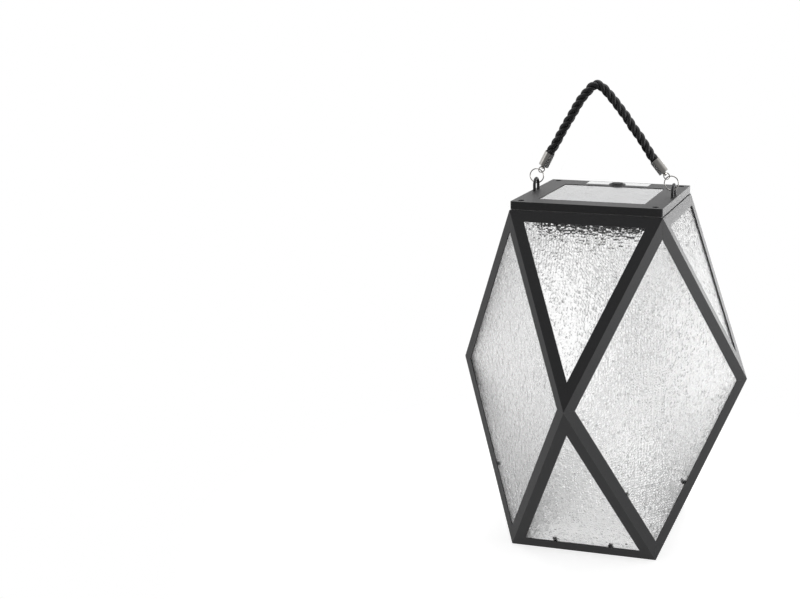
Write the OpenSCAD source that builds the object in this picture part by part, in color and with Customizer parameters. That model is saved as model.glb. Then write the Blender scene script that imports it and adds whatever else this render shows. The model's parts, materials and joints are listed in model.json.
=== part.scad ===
// Faceted solar lantern: folded sheet-steel frames, hammered glass panes,
// a screwed-down solar lid and a rope handle that swings on two eyelets.
// Millimetres, +Z up, front towards -Y, origin at the centre of the base on the floor.

/* [Frame] */
// Side of the square top and of the square base
square_side = 150; // [146:1:160]
// Height of the steel frame, from the floor to the lid seat
frame_height = 346; // [320:1:380]
// Width of the rails seen on every face
rail_width = 10.5; // [9:0.5:13]
// Thickness of the sheet steel
sheet = 1; // [0.8:0.1:1.2]
// Open seam between neighbouring frames
seam_gap = 0.2; // [0.2:0.1:0.6]
// Width of the flat steel rings at the base and under the lid
seat_width = 10.8; // [10:0.2:11]

/* [Glass] */
// Thickness of the hammered glass
glass_thickness = 3; // [2:0.5:3.5]
// Distance from a frame's fold line to the edge of a pane
pane_inset = 5; // [4.5:0.5:6]
// Width of a pane clip
clip_width = 4; // [3:0.5:6]
// How far a clip reaches past the rail over the glass
clip_reach = 3; // [2:0.5:5]
// Distance between the two clips on a wide rail
clip_spacing = 58; // [40:1:80]
// Height of the clips on the corner panes
corner_clip_height = 70; // [60:1:100]

/* [Lid] */
// Distance from the frame's edge to the side of the lid
lid_setback = 0.6; // [0.4:0.1:1]
// Height of the lid
lid_height = 7.5; // [7.5:0.5:9]
// Thickness of the lid's top plate
lid_plate = 3; // [3:0.1:3.4]
// Radius of the lid's upright corners
lid_corner_r = 1.5; // [1:0.5:4]
// Thickness of the rubber gasket under the lid
gasket_thickness = 1; // [0.8:0.1:1.5]
// Width of the solar panel
panel_width = 105; // [90:1:106]
// Depth of the solar panel
panel_depth = 98; // [84:1:98]
// How far the solar panel's cover lies below the lid's top
panel_recess = 0.5; // [0.4:0.1:0.8]
// Distance of the lid screws from the sides of the lid
lid_screw_inset = 8.4; // [8:0.2:9]

/* [Button] */
// Distance of the power button behind the lantern's centre
button_y = 58; // [57:0.5:59]
// Diameter of the button's cap
button_d = 12.6; // [11:0.2:13]
// Travel of the button
button_travel = 1; // [0.6:0.1:1]

/* [Housing] */
// How far the electronics housing hangs below the lid seat
housing_drop = 24; // [20:1:30]
// Width of the electronics housing
housing_width = 112; // [110:1:118]
// Wall of the electronics housing
housing_wall = 2; // [1.6:0.2:2.4]
// Diameter of the light's lens
lens_d = 46; // [42:1:50]

/* [Handle] */
// Diameter of the rope
rope_d = 9.4; // [9:0.2:9.6]
// Distance of each eyelet from the edge of the frame
eyelet_inset = 4.4; // [4.3:0.1:4.9]
// Height of an eyelet above the lid
eyelet_height = 13.2; // [12.8:0.1:13.6]
// Wire of an eyelet
eyelet_wire = 3; // [2.6:0.1:3.2]
// Outer diameter of the large ring
ring_d = 15.2; // [15:0.1:15.4]
// Wire of the large ring
ring_wire = 1.1; // [0.9:0.1:1.1]
// Outer diameter of the small ring
link_d = 7.6; // [7.4:0.1:7.8]
// Wire of the small ring
link_wire = 1.1; // [1:0.1:1.2]
// Length of a ferrule
ferrule_length = 15; // [12:0.5:18]
// Wall of a ferrule
ferrule_wall = 0.4; // [0.3:0.1:0.8]

/* [Hidden] */
$fn = 64;

// Colours
powder_black = "#2b2b2d";
moulded_black = "#333335";
clear_glass = "#dfe3e2";
cell_blue = "#1b2233";
nickel = "#b9b7b4";
cord_black = "#161617";
board_green = "#2f6b45";
lamp_white = "#f1efe6";
wrap_green = "#4d7f63";
label_pale = "#d9dadb";

// Frame geometry. The corner faces are upright rhombi because the middle corners
// stand one square side away from the axis.
half_side = square_side / 2;
mid_reach = square_side;
mid_z = frame_height / 2;
lean = atan(half_side / mid_z);
slope_length = norm([half_side, mid_z]);
tip_half_angle = atan(half_side / slope_length);
corner_half_width = half_side * sqrt(2);
corner_distance = mid_reach / sqrt(2);
bed_gap = 0.2;
weld_gap = 0.1;
seat_half = half_side - sheet / cos(lean) - weld_gap;
seat_opening_half = seat_half - seat_width;
plate_thickness = 1.2;

// Clip geometry: a leg beside the pane's edge and a finger over the pane's back
clip_sheet = 0.8;
clip_play = 0.2;
pane_back = sheet + bed_gap + glass_thickness;
clip_depth = pane_back + clip_play + clip_sheet;
clip_root = pane_inset - clip_play - clip_sheet;

// Lid levels and plan sizes
lid_half = half_side - lid_setback;
lid_screw_at = lid_half - lid_screw_inset;
lid_z = frame_height + gasket_thickness;
lid_top = lid_z + lid_height;
lid_under = lid_top - lid_plate;
lid_wall = 2.5;
gasket_half = lid_half - 1;
panel_y = -3;
panel_gap = 0.3;
cell_thickness = 0.6;
cover_thickness = 0.8;
cover_gap = 0.1;
pocket_depth = cell_thickness + cover_gap + cover_thickness + panel_recess;
panel_lead_at = [-30, 30];
panel_lead_hole_d = 5;

// Lid screws
lid_screw_d = 2.9;
lid_screw_head_d = 5.6;
lid_screw_head_h = 2;
lid_screw_recess_d = 6.6;
lid_screw_recess = 3.6;
lid_boss_d = 8.4;
screw_play = 0.1;

// Button stack, from the top: bezel, cap with a flange, well floor, switch
bezel_d = 17;
bezel_rise = 0.8;
bezel_depth = 1;
button_rise = bezel_rise + button_travel;
button_flange_d = 15;
button_flange_h = 1.2;
button_stem_d = 4;
button_play = 0.1;
well_d = 19;
well_bottom = lid_top - 4.5;
well_floor_h = 0.9;
stem_bottom = well_bottom + 0.4;
plunger_top = stem_bottom - button_travel - 0.1;
switch_board_z = frame_height + gasket_thickness + 0.2;
switch_board_h = 0.8;
switch_board_size = [26, 11];
switch_post_d = 3.6;
switch_post_x = 11;
label_size = [66, 17];
label_y = 64.2;
label_thickness = 0.4;

// Housing levels and plan sizes. Its back wall stands forward of the button.
housing_z = frame_height - housing_drop;
housing_front = -46;
housing_back = 46;
housing_depth = housing_back - housing_front;
housing_y = (housing_front + housing_back) / 2;
housing_corner_r = 4;
floor_top = housing_z + housing_wall;
post_d = 6;
post_bore_d = 2.1;
post_split_z = frame_height - 5;
post_inset = housing_wall + post_d / 2 + 0.6;
post_x = housing_width / 2 - post_inset;
post_front_y = housing_front + post_inset;
post_back_y = housing_back - post_inset;
housing_screw_d = 2;
housing_screw_head_d = 3.8;
housing_screw_head_h = 1.6;
lead_notch = [8, 4.5];

// Light
light_hole_d = 36;
led_board_d = 42;
led_board_h = 1.6;
led_count = 8;
led_ring_r = 11;
led_size = [3, 3, 0.7];
lens_flange_h = 1.6;
lens_dome_d = 38;
lens_dome_h = 9;
lens_wall = 1.6;

// Cells and boards
cell_d = 14.2;
cell_length = 49.5;
cell_x = 36;
holder_size = [18, 60, 9];
holder_y = -8;
holder_wall = 1.2;
contact_plate = [0.5, 8, 8];
contact_stud_d = 5;
board_size = [62, 15, 1.6];
board_y = 34;
board_z = floor_top + 5;
standoff_d = 4;
lead_d = 1.8;

// Handle geometry, in the upright plane through the eyelets. Heights are above the lid.
eyelet_x = half_side - eyelet_inset;
eyelet_half_width = 6.5;
arch_z = eyelet_height - eyelet_wire / 2 - eyelet_half_width;
swing_z = arch_z + 1.4;
ring_r = (ring_d - ring_wire) / 2;
link_r = (link_d - link_wire) / 2;
link_twist = 45;
lug_drop = 1.1;
lug_thickness = 1.4;
lug_d = 4.8;
lug_hole_d = 2.1;
cap_thickness = 1.2;
nut_size = 5.5;
nut_height = 2.4;

// Centres of the rings, left and right: from the swing axis towards the middle, and up.
// The rope leans to the left, so the two sides hang differently.
ring_offset = [[0.6, 7.9], [2.5, 6.5]];
link_offset = [[5.7, 14.5], [7.4, 13.3]];

// Rope route from one ferrule's mouth to the other's: across the lantern, above the lid.
// It is drawn for eyelets this far from the centre and spreads with them.
drawn_eyelet_x = 70.6;
rope_route = [
    [-55.9, 38.6], [-49.9, 48], [-44.8, 57.5], [-39.3, 67], [-33.8, 76], [-28.9, 84.5],
    [-23.5, 93], [-17.6, 100], [-12.6, 105.2], [-8, 107], [-3.4, 105], [2, 100.2], [8.4, 93],
    [14.9, 85], [21.7, 76.5], [28.1, 67], [35.2, 58], [42.6, 47], [50.2, 35.6]
];
rope_sides = 12;

function unit(v) = v / norm(v);
function last(list) = list[len(list) - 1];
function swing_point(side) = [side * eyelet_x, swing_z];
function from_swing(side, offset) = swing_point(side) + [-side * offset.x, offset.y];
function ring_centre(side) = from_swing(side, ring_offset[side < 0 ? 0 : 1]);
function link_centre(side) = from_swing(side, link_offset[side < 0 ? 0 : 1]);
function spread(p) = [p.x * eyelet_x / drawn_eyelet_x, p.y];
function rope_mouth(side) = spread(side < 0 ? rope_route[0] : last(rope_route));
function rope_aim(side) = unit(rope_mouth(side) - link_centre(side));
function eye_point(side) = link_centre(side) + link_r * rope_aim(side);
function ferrule_foot(side) = eye_point(side) + lug_drop * rope_aim(side);
function rope_end(side) = ferrule_foot(side) + (cap_thickness + bed_gap) * rope_aim(side);
function lift(p) = [p.x, 0, lid_top + p.y];
function angle_of(v) = atan2(v.y, v.x);

// Outline of a triangle face set in from its sides and from its wide rail.
// The middle corner is at the origin and the wide rail lies up the slope.
function triangle_outline(side_inset, rail_inset) =
    let (tip = side_inset / sin(tip_half_angle))
    let (top = slope_length - rail_inset)
    let (half = (top - tip) * tan(tip_half_angle))
    [[0, tip], [half, top], [-half, top]];

// Share of a corner face's size that is left when it is set in by a distance
function corner_share(inset) = 1 - inset * norm([1 / corner_half_width, 1 / mid_z]);

function corner_outline(inset) =
    let (share = corner_share(inset))
    let (w = corner_half_width * share)
    let (h = mid_z * share)
    [[-w, 0], [0, -h], [w, 0], [0, h]];

// Swept tube helpers: directions along a path and rings of points around it
function path_aim(path, i) = unit(path[min(i + 1, len(path) - 1)] - path[max(i - 1, 0)]);
function side_axis(aim, ref) = unit(cross(aim, ref));
function ring_point(p, aim, ref, r, a) =
    let (u = side_axis(aim, ref))
    p + r * (cos(a) * u + sin(a) * cross(u, aim));

// Placing helpers

// A triangle face of the upper half: x along the face, y up the slope, z outwards
module on_face(side) {
    rotate([0, 0, 90 * side])
        translate([0, -mid_reach, mid_z])
            rotate([90 - lean, 0, 0])
                children();
}

// A corner face: x along the face, y up, z outwards, from the middle of the face
module on_corner(side) {
    rotate([0, 0, 90 * side + 45])
        translate([0, -corner_distance, mid_z])
            rotate([90, 0, 0])
                children();
}

// The lower half is the upper half turned over
module turned_over() {
    translate([0, 0, frame_height])
        mirror([0, 0, 1])
            children();
}

// A plate behind a face's outer surface
module behind(start, thickness) {
    translate([0, 0, -start - thickness])
        linear_extrude(thickness)
            children();
}

// The handle's plane: x across the lantern, y up from the lid
module in_handle_plane(p, angle = 0) {
    translate(lift(p))
        rotate([90, 0, 0])
            rotate([0, 0, angle])
                children();
}

module rounded_square(size, r) {
    square([size.x - 2 * r, size.y], center = true);
    square([size.x, size.y - 2 * r], center = true);
    for (x = [-1, 1], y = [-1, 1])
        translate([x * (size.x / 2 - r), y * (size.y / 2 - r)])
            circle(r);
}

module at_corners(x, y) {
    for (sx = [-1, 1], sy = [-1, 1])
        translate([sx * x, sy * y])
            children();
}

module swept_tube(path, diameter, sides, ref) {
    count = len(path);
    rings = [
        for (i = [0 : count - 1])
            let (aim = path_aim(path, i))
            for (k = [0 : sides - 1])
                ring_point(path[i], aim, ref, diameter / 2, 360 * k / sides)
    ];
    walls = [
        for (i = [0 : count - 2], k = [0 : sides - 1])
            let (a = i * sides + k, b = i * sides + (k + 1) % sides)
            each [[a, b, a + sides], [b, b + sides, a + sides]]
    ];
    first_cap = [for (k = [1 : sides - 2]) [0, k + 1, k]];
    base = (count - 1) * sides;
    last_cap = [for (k = [1 : sides - 2]) [base, base + k, base + k + 1]];
    polyhedron(points = rings, faces = concat(walls, first_cap, last_cap));
}

// Steel frames

module triangle_ring() {
    on_face(0)
        behind(0, sheet)
            difference() {
                polygon(triangle_outline(0, 0));
                polygon(triangle_outline(rail_width, rail_width));
            }
}

// Flange folded back from the triangle's right side into the corner face
module corner_flange() {
    share = corner_share(rail_width);
    on_corner(0)
        behind(0, sheet)
            polygon([
                [-corner_half_width, 0], [0, mid_z],
                [0, mid_z * share], [-corner_half_width * share, 0]
            ]);
}

// Quarter of space that one upper frame may fill, short of the seams
module frame_quarter() {
    shift = seam_gap / sqrt(2);
    translate([0, -shift, mid_z + seam_gap / 2])
        linear_extrude(mid_z)
            polygon([[0, 0], [2 * mid_reach, -2 * mid_reach], [-2 * mid_reach, -2 * mid_reach]]);
}

module upper_frame(side) {
    color(powder_black)
        rotate([0, 0, 90 * side])
            intersection() {
                union() {
                    triangle_ring();
                    corner_flange();
                    mirror([1, 0, 0])
                        corner_flange();
                }
                frame_quarter();
            }
}

module lower_frame(side) {
    turned_over()
        upper_frame(side);
}

module flat_ring() {
    difference() {
        square(2 * seat_half, center = true);
        square(2 * seat_opening_half, center = true);
    }
}

module lid_seat_ring() {
    color(powder_black)
        translate([0, 0, frame_height - plate_thickness])
            linear_extrude(plate_thickness)
                difference() {
                    flat_ring();
                    at_corners(lid_screw_at, lid_screw_at)
                        circle(d = lid_screw_d + screw_play);
                    at_corners(eyelet_x, eyelet_half_width)
                        circle(d = eyelet_wire + screw_play);
                }
}

module base_ring() {
    color(powder_black)
        linear_extrude(plate_thickness)
            flat_ring();
}

// Glass

module upper_pane(side) {
    color(clear_glass)
        on_face(side)
            behind(sheet + bed_gap, glass_thickness)
                polygon(triangle_outline(pane_inset, pane_inset));
}

module lower_pane(side) {
    turned_over()
        upper_pane(side);
}

module corner_pane(side) {
    color(clear_glass)
        on_corner(side)
            behind(sheet + bed_gap, glass_thickness)
                polygon(corner_outline(pane_inset));
}

// Bent clip on a rail: x along the rail, y from the fold line into the face, z outwards
module clip() {
    translate([-clip_width / 2, clip_root, -clip_depth])
        cube([clip_width, clip_sheet, clip_depth - sheet]);
    translate([-clip_width / 2, clip_root, -clip_depth])
        cube([clip_width, rail_width + clip_reach - clip_root, clip_sheet]);
}

module wide_rail_clips() {
    for (side = [0 : 3], x = [-1, 1])
        on_face(side)
            translate([x * clip_spacing / 2, slope_length])
                rotate([0, 0, 180])
                    clip();
}

module triangle_pane_clips() {
    color(powder_black) {
        wide_rail_clips();
        turned_over()
            wide_rail_clips();
    }
}

module corner_pane_clips() {
    rail_angle = atan(mid_z / corner_half_width);
    rail_x = corner_half_width * corner_clip_height / mid_z;
    color(powder_black)
        for (side = [0 : 3], turn = [0, 1])
            on_corner(side)
                mirror([turn, 0, 0])
                    translate([rail_x, corner_clip_height - mid_z])
                        rotate([0, 0, rail_angle])
                            clip();
}

// Solar lid

module lid_block(inset, z, height) {
    translate([0, 0, z])
        linear_extrude(height)
            rounded_square([2, 2] * (lid_half - inset), max(lid_corner_r - inset, 0.6));
}

module panel_block(extra, z, height) {
    translate([0, panel_y, z + height / 2])
        cube([panel_width + extra, panel_depth + extra, height], center = true);
}

module lid_bosses() {
    at_corners(lid_screw_at, lid_screw_at)
        translate([0, 0, lid_z])
            cylinder(d = lid_boss_d, h = lid_height - 1);
    for (side = [-1, 1])
        translate([side * (lid_half - lid_wall - 2), 0, lid_z + lid_height / 2 - 0.5])
            cube([6, 18, lid_height - 1], center = true);
    at_housing_posts()
        translate([0, 0, post_split_z])
            cylinder(d = post_d, h = lid_under - post_split_z + 0.4);
    translate([0, button_y, well_bottom])
        cylinder(d = well_d, h = lid_top - well_bottom - 1);
    for (side = [-1, 1])
        translate([side * switch_post_x, button_y, switch_board_z + switch_board_h])
            cylinder(d = switch_post_d, h = lid_under - switch_board_z);
}

module lid_holes() {
    at_corners(lid_screw_at, lid_screw_at) {
        translate([0, 0, lid_z - 1])
            cylinder(d = lid_screw_d + 4 * screw_play, h = lid_height + 2);
        translate([0, 0, lid_top - lid_screw_recess])
            cylinder(d = lid_screw_recess_d, h = lid_screw_recess + 1);
    }
    at_corners(eyelet_x, eyelet_half_width)
        translate([0, 0, lid_z - 1])
            cylinder(d = eyelet_wire + 4 * screw_play, h = lid_height + 2);
    at_housing_posts()
        translate([0, 0, post_split_z - 1])
            cylinder(d = post_bore_d, h = 9);
    panel_block(panel_gap, lid_top - pocket_depth, pocket_depth + 1);
    translate([panel_lead_at.x, panel_lead_at.y, lid_under - 1])
        cylinder(d = panel_lead_hole_d, h = lid_plate + 2);
    translate([0, button_y, lid_top - bezel_depth])
        cylinder(d = bezel_d + screw_play, h = bezel_depth + 1);
    translate([0, button_y, well_bottom + well_floor_h])
        cylinder(d = button_flange_d + 4 * button_play, h = lid_height);
    translate([0, button_y, well_bottom - 1])
        cylinder(d = button_stem_d + 2 * button_play, h = lid_height);
    translate([0, label_y, lid_top - label_thickness])
        linear_extrude(label_thickness + 1)
            square([label_size.x + 2 * screw_play, label_size.y + 2 * screw_play], center = true);
}

module solar_lid() {
    color(moulded_black)
        difference() {
            union() {
                difference() {
                    lid_block(0, lid_z, lid_height);
                    lid_block(lid_wall, lid_z - 1, lid_height - lid_plate + 1);
                }
                lid_bosses();
            }
            lid_holes();
        }
}

module lid_gasket() {
    color(cord_black)
        translate([0, 0, frame_height])
            linear_extrude(gasket_thickness)
                difference() {
                    square(2 * gasket_half, center = true);
                    square(2 * seat_opening_half, center = true);
                    at_corners(lid_screw_at, lid_screw_at)
                        circle(d = lid_screw_d + 4 * screw_play);
                    at_corners(eyelet_x, eyelet_half_width)
                        circle(d = eyelet_wire + 4 * screw_play);
                }
}

// Screw with its head up: the seat under the head is at the origin
module cross_screw(d, head_d, head_h, length) {
    slot = head_d * 0.6;
    difference() {
        union() {
            cylinder(d = head_d, h = head_h);
            translate([0, 0, -length])
                cylinder(d = d, h = length);
        }
        for (turn = [0, 90])
            rotate([0, 0, turn])
                translate([0, 0, head_h])
                    cube([slot, slot / 5, head_h], center = true);
    }
}

module lid_screws() {
    seat_z = lid_top - lid_screw_recess;
    color(cord_black)
        at_corners(lid_screw_at, lid_screw_at)
            translate([0, 0, seat_z])
                cross_screw(lid_screw_d, lid_screw_head_d, lid_screw_head_h,
                    seat_z - frame_height + plate_thickness + 2);
}

module solar_cells() {
    color(cell_blue)
        difference() {
            panel_block(-1, lid_top - pocket_depth, cell_thickness);
            translate([panel_lead_at.x, panel_lead_at.y, lid_under])
                cylinder(d = lead_d + 0.4, h = lid_plate);
        }
}

module solar_cover_glass() {
    color(clear_glass)
        panel_block(0, lid_top - panel_recess - cover_thickness, cover_thickness);
}

// Power button

module button_bezel() {
    color(moulded_black)
        translate([0, button_y, lid_top - bezel_depth])
            difference() {
                cylinder(d = bezel_d, h = bezel_depth + bezel_rise);
                translate([0, 0, -1])
                    cylinder(d = button_d + 2 * button_play, h = bezel_depth + bezel_rise + 2);
            }
}

module power_button() {
    flange_top = lid_top - bezel_depth - button_play / 2;
    flange_bottom = flange_top - button_flange_h;
    cap_top = lid_top + button_rise;
    edge = 0.8;
    color(cord_black)
        translate([0, button_y, 0])
            rotate_extrude()
                polygon([
                    [0, stem_bottom], [button_stem_d / 2, stem_bottom],
                    [button_stem_d / 2, flange_bottom], [button_flange_d / 2, flange_bottom],
                    [button_flange_d / 2, flange_top], [button_d / 2, flange_top],
                    [button_d / 2, cap_top - edge], [button_d / 2 - edge, cap_top], [0, cap_top]
                ]);
}

module button_label() {
    color(label_pale)
        translate([0, 0, lid_top - label_thickness])
            linear_extrude(label_thickness)
                difference() {
                    translate([0, label_y])
                        square(label_size, center = true);
                    translate([0, button_y])
                        circle(d = bezel_d + 0.4);
                }
}

module switch_board() {
    body_h = 1;
    color(board_green) {
        translate([0, button_y, switch_board_z + switch_board_h / 2])
            cube([switch_board_size.x, switch_board_size.y, switch_board_h], center = true);
        translate([0, button_y, switch_board_z + switch_board_h + body_h / 2])
            cube([7, 7, body_h], center = true);
        translate([0, button_y, switch_board_z + switch_board_h])
            cylinder(d = 3.5, h = plunger_top - switch_board_z - switch_board_h);
    }
}

// Electronics under the lid

module at_housing_posts() {
    for (x = [-1, 1], y = [post_front_y, post_back_y])
        translate([x * post_x, y])
            children();
}

module housing_block(inset, z, height) {
    translate([0, housing_y, z])
        linear_extrude(height)
            rounded_square([housing_width, housing_depth] - [2, 2] * inset, housing_corner_r - inset);
}

module at_standoffs() {
    for (x = [-1, 1])
        translate([x * (board_size.x / 2 - 4), board_y])
            children();
}

module electronics_housing() {
    color(moulded_black)
        difference() {
            union() {
                difference() {
                    housing_block(0, housing_z, lid_under - housing_z);
                    housing_block(housing_wall, floor_top, lid_under - floor_top + 1);
                }
                at_housing_posts()
                    translate([0, 0, housing_z + 0.5])
                        cylinder(d = post_d, h = post_split_z - housing_z - 0.5 - bed_gap);
                at_standoffs()
                    translate([0, 0, housing_z + 0.5])
                        cylinder(d = standoff_d, h = board_z - housing_z - 0.5);
            }
            translate([0, 0, housing_z - 1])
                cylinder(d = light_hole_d, h = housing_wall + 2);
            at_housing_posts() {
                translate([0, 0, housing_z - 1])
                    cylinder(d = housing_screw_d + 0.4, h = housing_drop + 1);
                translate([0, 0, housing_z - 1])
                    cylinder(d = housing_screw_head_d + 0.4, h = housing_screw_head_h + 1.4);
            }
            translate([0, housing_back, lid_under - lead_notch.y / 2])
                cube([lead_notch.x, 3 * housing_wall, lead_notch.y + 0.01], center = true);
        }
}

module housing_screws() {
    seat_z = housing_z + housing_screw_head_h + 0.4;
    color(nickel)
        at_housing_posts()
            translate([0, 0, seat_z])
                mirror([0, 0, 1])
                    cross_screw(housing_screw_d, housing_screw_head_d, housing_screw_head_h,
                        post_split_z + 6 - seat_z);
}

module battery_holder() {
    color(cord_black)
        for (x = [-1, 1])
            translate([x * cell_x - holder_size.x / 2, holder_y - holder_size.y / 2, floor_top])
                difference() {
                    cube(holder_size);
                    translate([1, 1, 1] * holder_wall)
                        cube(holder_size - [2, 2, 0] * holder_wall);
                }
}

// Middle of each cell, with x along the cell
module at_cells() {
    for (x = [-1, 1])
        translate([x * cell_x, holder_y, floor_top + holder_wall + cell_d / 2])
            rotate([0, 0, 90])
                children();
}

module battery_cells() {
    nub_length = 1.4;
    color(wrap_green)
        at_cells()
            rotate([0, 90, 0]) {
                translate([0, 0, -cell_length / 2])
                    cylinder(d = cell_d, h = cell_length - nub_length);
                translate([0, 0, cell_length / 2 - nub_length])
                    cylinder(d = 5.4, h = nub_length);
            }
}

module battery_contacts() {
    wall_x = holder_size.y / 2 - holder_wall;
    color(nickel)
        at_cells()
            for (turn = [0, 1])
                mirror([turn, 0, 0]) {
                    translate([wall_x - contact_plate.x / 2, 0, 0])
                        cube(contact_plate, center = true);
                    translate([cell_length / 2 + bed_gap, 0, 0])
                        rotate([0, 90, 0])
                            cylinder(d = contact_stud_d, h = wall_x - cell_length / 2 - bed_gap);
                }
}

module circuit_board() {
    color(board_green)
        translate([0, board_y, board_z]) {
            translate([0, 0, board_size.z / 2])
                cube(board_size, center = true);
            translate([-8, 0, board_size.z])
                cylinder(d = 8, h = 5);
            translate([10, 0, board_size.z + 0.8])
                cube([6, 5, 1.6], center = true);
        }
}

module led_board() {
    color(lamp_white) {
        translate([0, 0, floor_top])
            cylinder(d = led_board_d, h = led_board_h);
        for (k = [0 : led_count - 1])
            rotate([0, 0, 360 * k / led_count])
                translate([led_ring_r, 0, floor_top - led_size.z / 2])
                    cube(led_size, center = true);
    }
}

module led_lens() {
    dome_r = (pow(lens_dome_d / 2, 2) + pow(lens_dome_h, 2)) / (2 * lens_dome_h);
    dome_z = housing_z - lens_flange_h - lens_dome_h + dome_r;
    color(lamp_white)
        difference() {
            union() {
                translate([0, 0, housing_z - lens_flange_h])
                    cylinder(d = lens_d, h = lens_flange_h);
                intersection() {
                    translate([0, 0, dome_z])
                        sphere(dome_r);
                    translate([0, 0, housing_z - lens_flange_h - lens_dome_h - 1])
                        cylinder(d = lens_d, h = lens_dome_h + 1.5);
                }
            }
            intersection() {
                translate([0, 0, dome_z])
                    sphere(dome_r - lens_wall);
                translate([0, 0, housing_z - lens_flange_h - lens_dome_h])
                    cylinder(d = lens_dome_d - 2 * lens_wall - 2, h = 2 * lens_dome_h);
            }
        }
}

// Leads: solar panel, cells, light and switch to the circuit board
module lead_wires() {
    board_top = board_z + board_size.z + lead_d / 2;
    led_top = floor_top + led_board_h + lead_d / 2;
    lead_gap = lead_d / 2 + bed_gap;
    cells_back = holder_y + holder_size.y / 2 + lead_gap;
    cells_front = holder_y - holder_size.y / 2 - lead_gap;
    cells_z = floor_top + 4;
    color(cord_black) {
        swept_tube([
            [panel_lead_at.x, panel_lead_at.y, lid_under + 0.6],
            [panel_lead_at.x, panel_lead_at.y, lid_under - 4],
            [panel_lead_at.x + 2, panel_lead_at.y + 3, board_top + 4],
            [panel_lead_at.x + 6, panel_lead_at.y + 4, board_top + 0.2]
        ], lead_d, 8, [1, 0, 0]);
        swept_tube([
            [cell_x, cells_back, cells_z],
            [cell_x, cells_back + 5, cells_z + 3],
            [cell_x - 4, board_y, board_top + 4],
            [cell_x - 9, board_y, board_top + 0.2]
        ], lead_d, 8, [1, 0, 0]);
        swept_tube([
            [-cell_x, cells_front, cells_z],
            [-cell_x + 8, cells_front - 1, cells_z],
            [cell_x - 8, cells_front - 1, cells_z],
            [cell_x, cells_front, cells_z]
        ], lead_d, 8, [0, 0, 1]);
        swept_tube([
            [-14, 8, led_top + 0.2],
            [-16, 14, led_top + 4],
            [-18, 22, board_top + 6],
            [-18, 30, board_top + 4],
            [-16, 34, board_top + 0.2]
        ], lead_d, 8, [1, 0, 0]);
        swept_tube([
            [0, button_y - switch_board_size.y / 2 - 0.2, switch_board_z + switch_board_h + lead_d / 2],
            [0, housing_back - housing_wall / 2, lid_under - lead_notch.y + lead_d],
            [0, housing_back - 2 * housing_wall, lid_under - lead_notch.y + lead_d],
            [2, housing_back - 3 * housing_wall - 2, board_top + 8],
            [4, board_y + 3, board_top + 3],
            [4, board_y, board_top + 0.2]
        ], lead_d, 8, [1, 0, 0]);
    }
}

// Eyelets and handle

module eyelet(side) {
    foot_z = frame_height - plate_thickness - nut_height - 1;
    color(powder_black)
        translate([side * eyelet_x, 0, 0]) {
            translate([0, 0, lid_top + arch_z])
                rotate([90, 0, 90])
                    rotate_extrude(angle = 180)
                        translate([eyelet_half_width, 0])
                            circle(d = eyelet_wire);
            for (y = [-1, 1])
                translate([0, y * eyelet_half_width, foot_z])
                    cylinder(d = eyelet_wire, h = lid_top + arch_z - foot_z);
        }
}

module eyelet_nuts() {
    color(nickel)
        at_corners(eyelet_x, eyelet_half_width)
            translate([0, 0, frame_height - plate_thickness - nut_height])
                difference() {
                    cylinder(d = nut_size / cos(30), h = nut_height, $fn = 6);
                    translate([0, 0, -1])
                        cylinder(d = eyelet_wire + screw_play, h = nut_height + 2);
                }
}

module wire_ring(r, wire) {
    rotate_extrude()
        translate([r, 0])
            circle(d = wire);
}

module large_ring(side) {
    color(nickel)
        in_handle_plane(ring_centre(side))
            wire_ring(ring_r, ring_wire);
}

module small_ring(side) {
    color(nickel)
        in_handle_plane(link_centre(side), angle_of(rope_aim(side)))
            rotate([link_twist, 0, 0])
                wire_ring(link_r, link_wire);
}

// Crimped cup on the rope's end, with an eye for the small ring
module ferrule(side) {
    outer_d = rope_d + bed_gap + 2 * ferrule_wall;
    color(nickel)
        in_handle_plane(eye_point(side), angle_of(rope_aim(side)))
            difference() {
                union() {
                    translate([lug_drop, 0, 0])
                        rotate([0, 90, 0])
                            cylinder(d = outer_d, h = ferrule_length);
                    rotate([link_twist, 0, 0]) {
                        rotate([90, 0, 0])
                            cylinder(d = lug_d, h = lug_thickness, center = true);
                        translate([lug_drop / 2 + 0.2, 0, 0])
                            cube([lug_drop + 0.4, lug_thickness, lug_d], center = true);
                    }
                }
                translate([lug_drop + cap_thickness, 0, 0])
                    rotate([0, 90, 0])
                        cylinder(d = rope_d + bed_gap, h = ferrule_length);
                rotate([link_twist, 0, 0])
                    rotate([90, 0, 0])
                        cylinder(d = lug_hole_d, h = 2 * lug_d, center = true);
            }
}

module rope_handle() {
    path = [
        lift(rope_end(-1)),
        for (p = rope_route) lift(spread(p)),
        lift(rope_end(1))
    ];
    color(cord_black)
        swept_tube(path, rope_d, rope_sides, [0, 1, 0]);
}

upper_frame(0);  // upper_frame_front
upper_frame(1);  // upper_frame_right
upper_frame(2);  // upper_frame_back
upper_frame(3);  // upper_frame_left
lower_frame(0);  // lower_frame_front
lower_frame(1);  // lower_frame_right
lower_frame(2);  // lower_frame_back
lower_frame(3);  // lower_frame_left
upper_pane(0);  // upper_pane_front
upper_pane(1);  // upper_pane_right
upper_pane(2);  // upper_pane_back
upper_pane(3);  // upper_pane_left
lower_pane(0);  // lower_pane_front
lower_pane(1);  // lower_pane_right
lower_pane(2);  // lower_pane_back
lower_pane(3);  // lower_pane_left
corner_pane(0);  // corner_pane_front_right
corner_pane(1);  // corner_pane_back_right
corner_pane(2);  // corner_pane_back_left
corner_pane(3);  // corner_pane_front_left
triangle_pane_clips();
corner_pane_clips();
lid_seat_ring();
base_ring();
solar_lid();
lid_gasket();
lid_screws();
solar_cells();
solar_cover_glass();
button_bezel();
power_button();
button_label();
switch_board();
electronics_housing();
housing_screws();
battery_holder();
battery_cells();
battery_contacts();
circuit_board();
led_board();
led_lens();
lead_wires();
eyelet(-1);  // eyelet_left
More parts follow.
